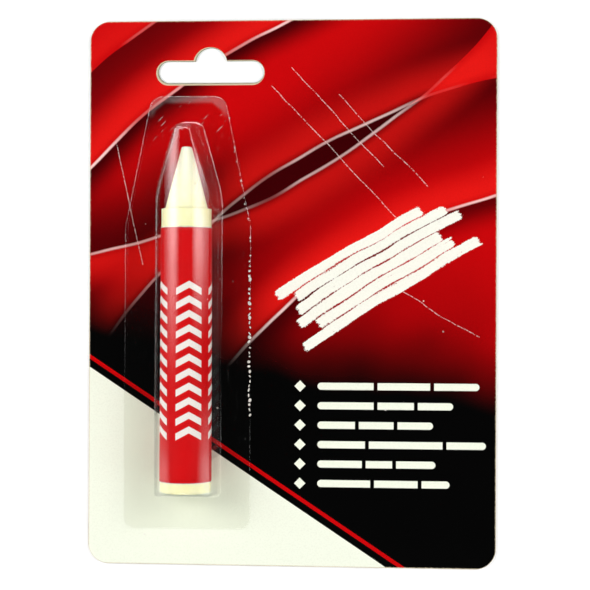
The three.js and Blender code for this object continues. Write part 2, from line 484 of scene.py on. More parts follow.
def cardLoop(inset):
    radius = card["cornerRadius"] - inset
    left, right = cardLow[0] + inset, cardHigh[0] - inset
    low, high = cardLow[1] + inset, cardHigh[1] - inset
    corners = [(left, low, radius), (right, low, radius), (right, high, radius), (left, high, radius)]
    arcSteps, sideSteps = [card["cornerSteps"]] * 4, [card["sideSteps"]] * 4
    return [tuple(point) for point, out in roundedLoop(corners, arcSteps, sideSteps)]


# rows of an edge from the back face to the front face, as (inset, height)
def edgeRows(frontWidth, frontDepth):
    back = card["backRounding"]
    rows = [(back, 0.0), (back * 0.3, back * 0.3), (0.0, back)]
    for share in shares(card["edgeSteps"]):
        angle = math.pi / 2 * share
        rows.append((frontWidth * (1 - math.cos(angle)), cardFace - frontDepth * (1 - math.sin(angle))))
    return rows


def makeCardMesh():
    outerRows = edgeRows(card["frontRounding"], card["frontRounding"])
    slotRows = edgeRows(card["slotBevel"], card["slotBevelDepth"])
    mesh = bmesh.new()
    rims = []
    for loopOf, rows in ((cardLoop, outerRows), (frayedLoop, slotRows)):
        rings = []
        for inset, height in rows:
            rings.append([mesh.verts.new((x * mm, y * mm, height * mm)) for x, y in loopOf(inset)])
        for lower, upper in zip(rings, rings[1:]):
            for here in range(len(lower)):
                after = (here + 1) % len(lower)
                face = mesh.faces.new((lower[here], lower[after], upper[after], upper[here]))
                face.smooth = True
                face.material_index = 1
        rims.append((rings[0], rings[-1]))
    for level, finish in ((0, 2), (1, 0)):  # the back face, then the printed one
        edges = []
        for rim in rims:
            ring = rim[level]
            edges += [mesh.edges.get((ring[here - 1], ring[here])) for here in range(len(ring))]
        filled = bmesh.ops.triangle_fill(mesh, use_beauty=True, use_dissolve=False, edges=edges)
        for face in filled["geom"]:
            if isinstance(face, bmesh.types.BMFace):
                face.material_index = finish
    bmesh.ops.recalc_face_normals(mesh, faces=mesh.faces[:])
    data = bpy.data.meshes.new("printedCard")
    mesh.to_mesh(data)
    mesh.free()
    return data


# millimetres along a line and across it, and its length
def lineAxes(x, y, start, end):
    length = math.dist(start, end)
    wayX, wayY = (end[0] - start[0]) / length, (end[1] - start[1]) / length
    along = (x - start[0]) * wayX + (y - start[1]) * wayY
    across = (y - start[1]) * wayX - (x - start[0]) * wayY
    return along, across, length


# distance in millimetres from a line between two points
def lineDistance(desk, x, y, start, end):
    along, across, length = lineAxes(x, y, start, end)
    past = desk.math("MAXIMUM", abs(along - length / 2) - length / 2, 0.0)
    return desk.math("SQRT", past * past + across * across)


# a band that rises up to a radius and falls beyond it, like a lamp's reflection in paint
def sweep(desk, reach, at, rise, fall):
    return desk.ease(reach, at - rise, at) * desk.ease(reach, at + fall, at)


def useCard(desk, colour, rough, normal):
    useSolid(desk, colour, rough, normal, {"Specular IOR Level": card["specular"]})


def cardPrint():
    material, desk = newFinish("cardPrint")
    ease, mix = desk.ease, desk.mix
    place = desk.place()
    x, y = desk.split(place)[:2]
    broad = desk.cloud(place, 46.0, 2.0)
    middle = desk.cloud(place, 15.0, 3.0)
    fine = desk.cloud(place, 0.5, 4.0, 0.6)

    # polished red paint with pale and dark sweeps
    tone = ease(y + x * 0.2 + (broad - 0.5) * 30, -30, 36) * 0.76 + 0.24
    shine = 0.0
    glow = 0.0
    for (centreX, centreY), rows in zip(card["sweepCentres"], card["sweeps"]):
        reach = desk.math("SQRT", (x - centreX) ** 2 + (y - centreY) ** 2) + (broad - 0.5) * 5
        for at, width, darkness, edge in rows:
            tone = tone * (1 - sweep(desk, reach, at, width, 0.3) * darkness)
            line = ease(abs(reach - at - 0.55), 0.6, 0.1) * edge
            shine = shine + line * ease(broad, 0.36, 0.62)
            glow = glow + sweep(desk, reach, at + 3.0, 3.0, 10.0) * edge
    paint = mix(tone, card["deepRed"], card["red"])
    paint = mix(desk.math("MINIMUM", glow, 1.0), paint, card["brightRed"])
    paint = mix(desk.math("MINIMUM", shine, 0.9), paint, card["shine"])
    shakyX = x + (fine - 0.5) * 0.5
    shakyY = y + (middle - 0.5) * 3
    for ends in card["scratches"]:
        distance = lineDistance(desk, shakyX, shakyY, ends[:2], ends[2:])
        share = ease(distance, 0.2, 0.04) * ease(fine, 0.38, 0.55)
        paint = mix(share * 0.55, paint, card["shine"])

    # the paint sinks into black towards the lower half
    depth = y + x * 0.16 + (broad - 0.5) * 26
    front = mix(ease(depth, *card["sink"]), paint, card["black"])

    # crayon rubbed over the scratches in strokes side by side, each with its own ends
    along, across, length = lineAxes(x, y, card["rubStart"], card["rubEnd"])
    across = across + (broad - 0.5) * 6
    wide = card["rubLane"]
    lane = desk.math("FLOOR", across / wide)
    level = across - (lane + 0.5) * wide
    first = desk.math("SINE", lane * 2.7) * 4 + 4
    last = length - 5 + desk.math("SINE", lane * 1.9 + 1) * 5
    body = ease(abs(level), wide * 0.66, wide * 0.3)
    body = body * ease(along, first, first + 2.5) * ease(along, last, last - 2.5)
    body = body * (abs(lane + 0.5) < card["rubLanes"] / 2)
    streaks = desk.cloud(desk.join(along * 0.07, across * 1.1), 1.0, 4.0, 0.65)
    ragged = body * 1.5 + (streaks - 0.5) * 2.2 + (fine - 0.5) * 1.6
    cover = ease(ragged, 0.75, 1.1) * ease(body, 0.0, 0.15)
    front = mix(cover * 0.97, front, card["chalk"])

    # plain white rows with diamond bullets
    share = (card["rowTop"] - y) / card["rowPitch"]
    row = desk.math("FLOOR", share)
    inRows = (share > 0) * (share < card["rowCount"])
    level = (share - row - 0.5) * card["rowPitch"]
    usual, change = card["rowHalf"]
    barHalf = desk.math("SINE", row * 2.3 + 0.9) * change + usual
    past = desk.math("MAXIMUM", abs(x - card["rowLeft"] - barHalf) - barHalf + 1.0, 0.0)
    bar = ease(desk.math("SQRT", past * past + level * level), 1.12, 0.98)
    gap = 1.0
    for part, shift in card["rowGaps"]:
        cut = card["rowLeft"] + barHalf * 2 * (part + desk.math("SINE", row * shift) * 0.07)
        gap = gap * ease(abs(x - cut), 0.5, 0.65)
    bullet = ease(abs(x - card["rowLeft"] + card["bulletGap"]) + abs(level), 1.75, 1.6)
    front = mix(inRows * desk.math("MAXIMUM", bar * gap, bullet), front, card["white"])

    # white corner below a straight border, with a thin red line beside it
    slope = card["borderSlope"]
    border = ((x - cardLow[0]) * slope + (y - card["borderAtLeft"])) / math.hypot(1, slope)
    lineAt, lineHalf = card["borderLine"]
    line = ease(abs(border - lineAt), lineHalf + 0.06, lineHalf - 0.06)
    front = mix(line, front, card["red"])
    front = mix(ease(border, 0.08, -0.08), front, card["white"])

    # ink grain, dust and the pale rim where the cut edge has lost its ink
    front = mix(ease(fine, 0.4, 0.75) * 0.16, front, (0.6, 0.58, 0.56), "MULTIPLY")
    dust = desk.specks(place, *card["dust"])
    front = mix(dust * 0.7, front, (0.75, 0.72, 0.66))
    rim = desk.math("MINIMUM", cardHigh[0] - abs(x), cardHigh[1] - abs(y))
    worn = ease(rim + (fine - 0.5) * 0.7, 0.36, 0.12)
    front = mix(worn * 0.55, front, card["board"])
    rough = card["roughness"] + (middle - 0.5) * 0.06 + cover * 0.25 + fine * 0.06
    normal = desk.bump(fine * 0.6 + middle * 0.4, 0.012, 0.5)
    useCard(desk, front, rough, normal)
    return material


# the cut edge shows the grey-beige layers of the board
def boardEdge():
    material, desk = newFinish("boardEdge")
    fibres = desk.cloud(desk.place(stretch=(1, 1, 7)), 0.45, 4.0, 0.65)
    tint = desk.mix(desk.ease(fibres, 0.3, 0.7), (0.5, 0.42, 0.28), card["board"])
    x, y, z = desk.split(desk.place())
    slotMiddle = cardLow[0] + card["slotFromLeft"] + card["slotLength"] / 2
    # painted shade: round the slot the cut face is darker, and darker still deeper down, where shadow falls
    # into the hole
    slotShade = (abs(x - slotMiddle) < card["slotLength"] / 2 + 2) * (y < cardHigh[1] - 2) * (y > 0)
    deepShade = desk.ease(z + (fibres - 0.5) * 0.15, cardFace - 0.04, cardFace - 0.18)
    tint = desk.mix(slotShade, tint, desk.mix(deepShade, card["slotShadedBoard"], card["slotShadow"]))
    normal = desk.bump(fibres, 0.05, 0.7)
    useCard(desk, tint, 0.78 + fibres * 0.15, normal)
    return material


# uncoated back, with pulp flecks and fibres
def boardBack():
    material, desk = newFinish("boardBack")
    ease, mix = desk.ease, desk.mix
    place = desk.place()
    pulp = desk.cloud(place, 1.4, 6.0, 0.7)
    patch = desk.cloud(place, 22.0, 3.0)
    shade = mix(ease(pulp, 0.3, 0.75), dimmed(card["backTint"], 0.86), card["backTint"])
    shade = mix(ease(patch, 0.4, 0.75) * 0.25, shade, (0.66, 0.61, 0.52))
    flecks = desk.specks(place, *card["flecks"])
    shade = mix(flecks * 0.55, shade, (0.34, 0.3, 0.25))
    fibres = desk.cloud(desk.place(stretch=(1, 0.12, 1)), 0.3, 3.0)
    shade = mix(ease(fibres, 0.62, 0.72) * 0.3, shade, (0.55, 0.5, 0.42))
    normal = desk.bump(pulp + fibres * 0.5, 0.03, 0.6)
    useCard(desk, shade, 0.75 + pulp * 0.15, normal)
    return material


cardFinishes = [cardPrint(), boardEdge(), boardBack()]
addPiece("printedCard", makeCardMesh(), cardFinishes, "pack", "backing_card")

film = {
    "thickness": 0.35,
    "draft": 4.0,
    "marginLeft": 10.2,
    "marginRight": 9.1,
    "marginBottom": 10.2,
    "marginTop": 8.7,
    "topWidth": 21.8,
    "taperAt": 77.3,  # along the crayon, where the flange starts to narrow
    "flangeRadii": (3.0, 8.0, 4.0),
    "cheekAt": 86.4,  # along the crayon, where the bubble starts to narrow
    "noseHalfWidth": 3.1,
    "footRadii": (1.55, 27.0, 2.6),
    "footFillet": 1.0,
    "noseFillet": 1.25,
    "roofSlope": 1.08,  # across the crayon, far from the middle
    "roofSoftness": 8.5,
    "buttDroop": 0.6,
    "droopLength": 14.0,
    "buttCrease": 1.4,
    "noseCrease": 1.9,
    "ridgeInset": 1.1,
    "ridgeHeight": 0.022,
    # across the ridge, and the share of its height there
    "ridgeRows": [(-0.3, 0.0), (-0.12, 0.7), (0.0, 1.0), (0.12, 0.7), (0.3, 0.0)],
    "steps": (4, 6, 6, 7, 16),  # over the flange, its fillet, the wall, the crease and the roof
    "spineEnds": (7.0, 9.0),  # how far the roof's spine stays from the butt and the nose
    "wave": 0.035,
    "waveScale": 130.0,
    "waveFrom": 1.5,  # above the flange
    "waveRise": 3.0,  # it is full this far above that
    "noseWave": 0.2,
    "noseWaveScale": 620.0,
    "noseWaveLength": 7.0,
    "noseWaveRise": 4.0,
    "noseWaveShift": (3, 7, 1),  # picks a stretch of the noise
    "frostWidth": 2.0,
    "frostCut": 3.4,  # how far the frost's corners are cut off
    "dust": (4.5, 0.4, 0.2),  # size of a cell, largest radius, share of the cells
    "hairlines": (0.3, 0.075, 0.7),
    "tint": (0.998, 0.998, 0.99),
    "roughness": 0.045,
    "outerMirror": (0.056, 0.45),  # straight on, and how much it grows at a glancing angle
    "innerMirror": (0.004, 0.1),
    "edgeMilk": 0.02,  # milkier and greyer where it is seen edge on
    "edgeTint": (0.87, 0.89, 0.88),
}

# the film's own plan: x from the crayon's axis, y from its butt
flangeLeft = filmLow[0] - axisX
flangeRight = filmHigh[0] - axisX
flangeBottom = filmLow[1] - buttY
flangeTop = filmHigh[1] - buttY
footHalf = (flangeRight - film["marginRight"] - flangeLeft - film["marginLeft"]) / 2
footMiddle = flangeLeft + film["marginLeft"] + footHalf
footButt = flangeBottom + film["marginBottom"]
footNose = flangeTop - film["marginTop"]
draftSlope = math.tan(math.radians(film["draft"]))
flangeFace = filmLow[2] + film["thickness"]
loopArcs = [8, 8, 20, 10, 10, 20]
loopSides = [12, 56, 16, 8, 16, 56]


# square at its butt, and narrowing from taperAt to a flat nose, which is set out from the middle
def taperedLoop(left, right, butt, taperAt, nose, noseHalf, radii):
    buttRadius, shoulder, noseRadius = radii
    middle = (left + right) / 2
    outline = [
        (left, butt, buttRadius),
        (right, butt, buttRadius),
        (right, taperAt, shoulder),
        (middle + noseHalf, nose, noseRadius),
        (middle - noseHalf, nose, noseRadius),
        (left, taperAt, shoulder),
    ]
    return roundedLoop(outline, loopArcs, loopSides)


def flangeLoop():
    ends = (flangeBottom, film["taperAt"], flangeTop)
    return taperedLoop(flangeLeft, flangeRight, *ends, film["topWidth"] / 2, film["flangeRadii"])


def footLoop():
    ends = (footButt, film["cheekAt"], footNose)
    sides = (footMiddle - footHalf, footMiddle + footHalf)
    return taperedLoop(*sides, *ends, film["noseHalfWidth"], film["footRadii"])


def roofHeight(x, y):
    soft = film["roofSoftness"]
    fall = film["roofSlope"] * (math.hypot(soft, x - footMiddle) - soft)
    droop = film["buttDroop"] * max(0.0, 1 - (y - footButt) / film["droopLength"]) ** 2
    return filmHigh[2] - fall - droop


# one line over the film, from the flange's edge up the wall and over the roof to its spine
def filmColumn(edge, edgeOut, foot, footOut):
    noseShare = clamp((foot.y - film["cheekAt"]) / (footNose - film["cheekAt"]))
    fillet = between(film["footFillet"], film["noseFillet"], noseShare)
    flangeSteps, filletSteps, wallSteps, creaseSteps, roofSteps = film["steps"]
    ridge = film["ridgeInset"]
    rows = [(0.0, 0.0), (0.3, 0.0)] + [(ridge + aside, lift) for aside, lift in film["ridgeRows"]]
    column = []
    for inset, lift in rows:
        column.append((*(edge - edgeOut * inset), flangeFace + lift * film["ridgeHeight"]))
    start = edge - edgeOut * (ridge + 0.6)
    end = foot + footOut * (fillet + 0.15)
    for share in shares(flangeSteps):
        column.append((*start.lerp(end, share), flangeFace))
    for share in shares(filletSteps):
        angle = (math.pi / 2 - math.radians(film["draft"])) * share
        out = foot + footOut * (fillet - fillet * math.sin(angle))
        column.append((*out, flangeFace + fillet - fillet * math.cos(angle)))

    # the wall leans in by its draft until it meets the roof
    fromButt, fromNose = film["spineEnds"]
    spine = Vector((footMiddle, min(max(foot.y, footButt + fromButt), footNose - fromNose)))
    inward = spine - foot
    reach = inward.length
    inward.normalize()
    climb = max(0.2, -inward.dot(footOut)) / draftSlope

    def roofAt(travel):
        return roofHeight(*(foot + inward * travel))

    low, high = 0.0, min(reach, 2.0)
    for halving in range(40):
        half = (low + high) / 2
        if flangeFace + half * climb < roofAt(half):
            low = half
        else:
            high = half
    meet = low
    top = roofAt(meet)

    # round the crease between wall and roof
    wallWay = Vector((1, climb)).normalized()
    ahead = 0.4
    roofWay = Vector((ahead, roofAt(meet + ahead) - top)).normalized()
    turn = wallWay.angle(roofWay)
    crease = between(film["buttCrease"], film["noseCrease"], noseShare ** 2)
    trim = min(crease * math.tan(turn / 2), 0.5 * (reach - meet))
    peak = Vector((meet, top))
    creaseStart = peak - wallWay * trim
    creaseEnd = meet + roofWay.x * trim
    creaseStop = Vector((creaseEnd, roofAt(creaseEnd)))
    wallLow = flangeFace + fillet
    for share in shares(wallSteps)[1:-1]:
        height = between(wallLow, creaseStart.y, share)
        column.append((*(foot + inward * ((height - flangeFace) / climb)), height))
    for share in shares(creaseSteps):
        travel, height = creaseStart.lerp(peak, share).lerp(peak.lerp(creaseStop, share), share)
        column.append((*(foot + inward * travel), height))
    for share in shares(roofSteps)[1:]:
        travel = between(creaseEnd, reach, 1 - math.cos(math.pi / 2 * share))
        column.append((*(foot + inward * travel), roofAt(travel)))
    return column


def makeFilmMesh():
    columns = [filmColumn(*edge, *foot) for edge, foot in zip(flangeLoop(), footLoop())]
    places = []
    for row in zip(*columns):
        places += [((x + axisX) * mm, (y + buttY) * mm, z * mm) for x, y, z in row]
    data = bpy.data.meshes.new("clearBlister")
    data.from_pydata(places, [], stripFaces(len(columns[0]), len(columns)))
    mesh = openShell(data, 0.004)
    if max(mesh.verts, key=lambda vert: vert.co.z).normal.z < 0:
        bmesh.ops.reverse_faces(mesh, faces=mesh.faces[:])
    mesh.normal_update()

    # the drawn film is never quite even, least of all at the nose
    noseY = (footNose - film["noseWaveLength"] + buttY) * mm
    for vert in mesh.verts:
        lift = vert.co.z / mm - flangeFace - film["waveFrom"]
        if lift > 0:
            nose = clamp((vert.co.y - noseY) / (film["noseWaveRise"] * mm))
            even = Vector((vert.co.x, vert.co.y * 0.7, vert.co.z)) * film["waveScale"]
            crumple = vert.co * film["noseWaveScale"] + Vector(film["noseWaveShift"])
            depth = film["wave"] * (0.5 + 0.5 * noise.noise(even))
            depth += nose * film["noseWave"] * clamp(0.5 + 1.4 * noise.noise(crumple))
            vert.co -= vert.normal * (depth * min(1.0, lift / film["waveRise"]) * mm)
    for face in mesh.faces:
        face.smooth = True
    mesh.to_mesh(data)
    mesh.free()
    return data


def clearFilm(name, straight, glancing):
    material, desk = newFinish(name)
    ease = desk.ease
    place = desk.place()
    x, y = desk.split(place)[:2]
    facing = desk.node("ShaderNodeLayerWeight", {}, {"Blend": 0.5}, "Facing")
    glance = facing ** 5
    clear = desk.node("ShaderNodeBsdfTransparent", {}, {"Color": film["tint"]})
    grey = desk.node("ShaderNodeBsdfTransparent", {}, {"Color": film["edgeTint"]})
    gloss = desk.node("ShaderNodeBsdfGlossy", {}, {"Roughness": film["roughness"]})
    surface = desk.layer(straight + glancing * glance, desk.layer(glance, clear, grey), gloss)

    # rubbed and frosted where the flange's top was pressed, with a few scuffs and dust
    fine = desk.cloud(place, 0.6, 4.0, 0.65)
    patch = desk.cloud(place, 7.0, 3.0)
    fromTop = filmHigh[1] - y
    fromSide = film["topWidth"] / 2 + fromTop * 0.22 - abs(x - (filmLow[0] + filmHigh[0]) / 2)
    fromCorner = (fromTop + fromSide - film["frostCut"]) * 0.7
    rim = desk.math("MINIMUM", desk.math("MINIMUM", fromTop, fromSide), fromCorner)
    frost = film["frostWidth"]
    pressed = ease(rim, frost * 1.25, frost * 0.6) * ease(fromTop, 7.0, 3.0)
    pressed = pressed * (0.45 + 0.55 * ease(fine + patch, 0.7, 1.1))
    scuffs = ease(desk.cloud(desk.place(stretch=(1, 0.25, 1)), 1.1, 5.0, 0.7), 0.6, 0.72)
    dust = desk.specks(place, *film["dust"])
    haze = pressed * 0.055 + scuffs * ease(patch, 0.4, 0.7) * 0.02 + dust * 0.25

    # fine hairlines across the top of the flange
    slanted = desk.node("ShaderNodeMapping", {}, {"Vector": place, "Rotation": (0.0, 0.0, -0.8)})
    drawn = desk.node("ShaderNodeMapping", {}, {"Vector": slanted, "Scale": (0.04, 1.0, 0.0)})
    hairlines = desk.specks(drawn, *film["hairlines"]) * ease(fromTop, 16.0, 9.0)
    hairlines = hairlines * ease(patch, 0.3, 0.5)
    haze = haze + hairlines * 0.35 + film["edgeMilk"] * facing ** 3
    milk = desk.node("ShaderNodeBsdfDiffuse", {}, {"Color": (0.86, 0.87, 0.86)})
    useSurface(desk, desk.layer(haze, surface, milk))
    return material


filmFinishes = [
    clearFilm("filmOutside", *film["outerMirror"]),
    clearFilm("filmInside", *film["innerMirror"]),
]
blister = addPiece("clearBlister", makeFilmMesh(), filmFinishes, "pack", "blister")
thicken(blister, "filmThickness", film["thickness"])

beads = {
    "pitch": 1.4,
    "size": 0.46,
    "inset": 0.3,
    "flatness": 0.5,
    "keep": 0.95,
    # height on the card where the row starts, is full, thins and is sparse
    "thickest": (-46.0, -26.0, 4.0, 16.0),
    "sparse": 0.6,
    "smallest": 0.5,  # share of their size where the row is sparse
    "jog": (0.22, 0.3),  # across the row and along it
    "width": (0.4, 1.1),
    "length": (0.5, 1.5),
    "turn": (-0.7, 0.7),
    "ends": (16.0, 4.0),  # where the row ends, from the flange's bottom and top
    "seed": 11,
}


# a node group input, known to the modifier by its identifier
def addInput(tree, name, kind="NodeSocketFloat"):
    return tree.interface.new_socket(name=name, in_out="INPUT", socket_type=kind).identifier


def newTree(name):
    tree = bpy.data.node_groups.new(name, "GeometryNodeTree")
    tree.interface.new_socket(name="Geometry", in_out="OUTPUT", socket_type="NodeSocketGeometry")
    return tree, Desk(tree)


# realised, coloured and sent out of the group
def endTree(desk, shape, material):
    shape = desk.node("GeometryNodeRealizeInstances", {}, {"Geometry": shape})
    shape = desk.node("GeometryNodeSetMaterial", {}, {"Geometry": shape, "Material": material})
    desk.node("NodeGroupOutput", {}, {"Geometry": shape})


# the tree's result as a plain mesh, with the carrier object thrown away
def bakeTree(carrier, tree, values):
    modifier = carrier.modifiers.new(tree.name, "NODES")
    modifier.node_group = tree
    for identifier, value in values.items():
        modifier[identifier] = value
    bpy.context.view_layer.update()
    graph = bpy.context.evaluated_depsgraph_get()
    mesh = bpy.data.meshes.new_from_object(carrier.evaluated_get(graph))
    carrier.modifiers.remove(modifier)
    bpy.data.objects.remove(carrier)
    return mesh


def newCarrier(name, places, edges=()):
    mesh = bpy.data.meshes.new(name)
    mesh.from_pydata(places, edges, [])
    return newObject(name, mesh)


def glueWithPaintedGlint():
    material, desk = newFinish("glueWithPaintedGlint")
    grain = desk.cloud(desk.place(), 0.5, 3.0)
    see = desk.node("ShaderNodeBsdfTransparent", {}, {"Color": (0.96, 0.97, 0.97)})
    # painted glint: the glue is pale and nearly opaque, standing in for light caught along the flange's
    # edge
    tint = desk.mix(grain, (0.85, 0.80, 0.72), (0.97, 0.94, 0.88))
    body = desk.node("ShaderNodeBsdfPrincipled", {}, {"Base Color": tint, "Roughness": 0.12})
    useSurface(desk, desk.layer(0.62 + grain * 0.3, see, body))
    return material


# beads of seal glue squeezed out along the flange's right edge; their pale, nearly opaque colour is partly
# painted glint
def makeBeadMesh():
    tree, desk = newTree("squeezedBeads")
    addInput(tree, "Path", "NodeSocketGeometry")
    values = {
        addInput(tree, "Pitch"): beads["pitch"] * mm,
        addInput(tree, "Bead Size"): beads["size"] * mm,
        addInput(tree, "Flatness"): beads["flatness"],
        addInput(tree, "Keep"): beads["keep"],
        addInput(tree, "Seed", "NodeSocketInt"): beads["seed"],
    }
    given = desk.node("NodeGroupInput", out="Path")

    def randomValue(kind, draw, sockets, out):
        seed = given.output("Seed") + draw
        return desk.node("FunctionNodeRandomValue", {"data_type": kind}, {**sockets, "Seed": seed}, out)

    def randomShare(draw, low, high):
        return randomValue("FLOAT", draw, {2: low, 3: high}, 1)

    line = desk.node("GeometryNodeMeshToCurve", {}, {"Mesh": given})
    spacing = {"Curve": line, "Length": given.output("Pitch")}
    line = desk.node("GeometryNodeResampleCurve", {"mode": "LENGTH"}, spacing)
    dots = desk.node("GeometryNodeCurveToPoints", {"mode": "EVALUATED"}, {"Curve": line}, "Points")

    # fewer and smaller beads towards the ends of the row
    height = desk.split(desk.node("GeometryNodeInputPosition"))[1] / mm
    start, full, thin, sparse = beads["thickest"]
    begun, dense = desk.ease(height, start, full), desk.ease(height, sparse, thin)
    crowd = begun * between(beads["sparse"], 1.0, dense)
    gone = randomValue("BOOLEAN", 0, {"Probability": 1 - crowd * given.output("Keep")}, 3)
    dropped = {"Geometry": dots, "Selection": gone}
    dots = desk.node("GeometryNodeDeleteGeometry", {"domain": "POINT"}, dropped)
    aside, ahead = (reach * mm for reach in beads["jog"])
    jog = randomValue("FLOAT_VECTOR", 1, {0: (-aside, -ahead, 0), 1: (aside, ahead, 0)}, 0)
    dots = desk.node("GeometryNodeSetPosition", {}, {"Geometry": dots, "Offset": jog})
    grown = between(0.5, 1.0, begun) * between(beads["smallest"], 1.0, dense)
    wide = randomShare(2, *beads["width"]) * grown
    long = randomShare(3, *beads["length"]) * grown
    ball = {"Radius": given.output("Bead Size"), "Subdivisions": 2}
    drops = {
        "Points": dots,
        "Instance": desk.node("GeometryNodeMeshIcoSphere", {}, ball),
        "Scale": desk.join(wide, long, wide * given.output("Flatness")),
        "Rotation": desk.join(0.0, 0.0, randomShare(4, *beads["turn"])),
    }
    shape = desk.node("GeometryNodeInstanceOnPoints", {}, drops)
    shape = desk.node("GeometryNodeSetShadeSmooth", {}, {"Geometry": shape})
    endTree(desk, shape, glueWithPaintedGlint())

    fromBottom, fromTop = beads["ends"]
    path = []
    for edge, out in flangeLoop():
        if out.x > 0.35 and flangeBottom + fromBottom < edge.y < flangeTop - fromTop:
            spot = edge - out * beads["inset"]
            path.append(((spot.x + axisX) * mm, (spot.y + buttY) * mm, flangeFace * mm))
    carrier = newCarrier("beadPath", path, [(step, step + 1) for step in range(len(path) - 1)])
    return bakeTree(carrier, tree, values)


addPiece("sealBeads", makeBeadMesh(), [], "pack", None)

wax = {
    "length": waxHigh[1] - waxLow[1],
    "buttRadius": (waxHigh[0] - waxLow[0]) / 2,
    "shoulderRadius": 7.25,
    "coneLength": 18.0,
    "coneBase": 6.2,
    "tipRadius": 1.45,
    "buttRounding": 0.5,
    "tipRounding": 0.35,
    "rings": 360,
    "segments": 96,
    "dent": 0.05,
    "dentScale": 210.0,  # dents in a metre
    "nickPlace": (-2.2, 95.9, 1.1),  # from the butt's middle
    "nickSize": 0.9,
    "nickDepth": 0.34,
    "pale": (0.97, 0.955, 0.62),
    "deep": (0.95, 0.93, 0.50),
    "cut": (0.985, 0.98, 0.76),  # painted light: the cone is paler towards its tip, standing in for the light that falls on it
    "pits": (1.7, 0.28, 0.3),  # size of a cell, largest radius, share of the cells
}


def creamWax():
    material, desk = newFinish("creamWax")
    ease, mix = desk.ease, desk.mix
    place = desk.place()
    cloudy = desk.cloud(place, 5.0, 4.0, 0.6)
    fine = desk.cloud(place, 0.45, 4.0, 0.6)
    turned = desk.cloud(desk.place(stretch=(0.12, 1, 0.12)), 0.5, 3.0)
    tint = mix(ease(cloudy, 0.3, 0.72), wax["deep"], wax["pale"])
    # painted light: the cone is mixed towards a paler colour, standing in for its highlights
    coneStart = waxHigh[1] - wax["coneLength"]
    onCone = ease(desk.split(place)[1], coneStart - 1.0, waxHigh[1] - 4.0)
    tint = mix(onCone * (0.8 + 0.2 * cloudy), tint, wax["cut"])
    bloom = ease(cloudy + (fine - 0.5) * 0.5, 0.55, 0.8)
    tint = mix(bloom * 0.3, tint, (0.95, 0.94, 0.82))
    pits = desk.specks(place, *wax["pits"])
    tint = mix(pits * 0.5, tint, (0.62, 0.5, 0.2))
    rough = 0.42 + (cloudy - 0.5) * 0.2 + fine * 0.1
    normal = desk.bump(fine * 0.4 + turned * 0.5 - pits * 0.6, 0.03, 0.6)
    fixed = {
        "Specular IOR Level": 0.8,
        "Subsurface Weight": 0.25,
        "Subsurface Radius": (1.0, 0.85, 0.4),
        "Subsurface Scale": 1.2 * mm,
    }
    useSolid(desk, tint, rough, normal, fixed)
    return material


# the stick is swept along its axis, with a radius that follows its mould
def makeWaxMesh():
    tree, desk = newTree("mouldedStick")
    sizes = {}
    labels = ["Length", "Butt Radius", "Shoulder Radius", "Cone Length", "Cone Base", "Tip Radius"]
    labels += ["Butt Rounding", "Tip Rounding", "Dent", "Nick Size", "Nick Depth"]
    for label in labels:
        key = label[0].lower() + label[1:].replace(" ", "")  # Cone Base is set by coneBase
        sizes[addInput(tree, label)] = wax[key] * mm
    sizes[addInput(tree, "Rings", "NodeSocketInt")] = wax["rings"]
    sizes[addInput(tree, "Segments", "NodeSocketInt")] = wax["segments"]
    given = desk.node("NodeGroupInput", out="Length")
    length, coneLength = given, given.output("Cone Length")
    line = desk.node("GeometryNodeCurvePrimitiveLine", {}, {"End": desk.join(0.0, length, 0.0)})
    spacing = {"Curve": line, "Count": given.output("Rings")}
    line = desk.node("GeometryNodeResampleCurve", {"mode": "COUNT"}, spacing)
    along = desk.node("GeometryNodeSplineParameter", out="Length")
    shoulder = length - coneLength
    body = between(given.output("Butt Radius"), given.output("Shoulder Radius"), along / shoulder)
    cone = between(given.output("Cone Base"), given.output("Tip Radius"), (along - shoulder) / coneLength)
    onCone = along > shoulder
    radius = onCone * cone + (1 - onCone) * body
    for fromEnd, name in ((along, "Butt Rounding"), (length - along, "Tip Rounding")):
        rounding = given.output(name)
        near = desk.math("MAXIMUM", 1 - fromEnd / rounding, 0.0)
        radius = radius - rounding * near * near
    circle = {"Resolution": given.output("Segments"), "Radius": 1.0}
    ring = desk.node("GeometryNodeCurvePrimitiveCircle", {}, circle)
    sweepSockets = {"Curve": line, "Profile Curve": ring, "Scale": radius, "Fill Caps": True}
    shape = desk.node("GeometryNodeCurveToMesh", {}, sweepSockets)
    spot = desk.node("GeometryNodeInputPosition")
    dents = desk.cloud(spot, 1 / wax["dentScale"], 2.0)
    nickPlace = tuple(part * mm for part in wax["nickPlace"])
    away = desk.node("ShaderNodeVectorMath", {"operation": "DISTANCE"}, {0: spot, 1: nickPlace}, "Value")
    nick = desk.ease(away, given.output("Nick Size"), given.output("Nick Size") * 0.3)
    inward = (dents - 1.0) * given.output("Dent") - nick * given.output("Nick Depth")
    normal = desk.node("GeometryNodeInputNormal")
    push = desk.node("ShaderNodeVectorMath", {"operation": "SCALE"}, {0: normal, "Scale": inward})
    shape = desk.node("GeometryNodeSetPosition", {}, {"Geometry": shape, "Offset": push})
    endTree(desk, shape, creamWax())
    mesh = bakeTree(newCarrier("stickSeed", [(0, 0, 0)]), tree, sizes)
    mesh.transform(Matrix.Translation(Vector((axisX, buttY, axisZ)) * mm))
    shell = openShell(mesh, 0.001)
    for face in shell.faces:
        face.smooth = len(face.verts) < 5
    shell.to_mesh(mesh)
    shell.free()
    return mesh


addPiece("waxCrayon", makeWaxMesh(), [], "crayon", "wax_stick")

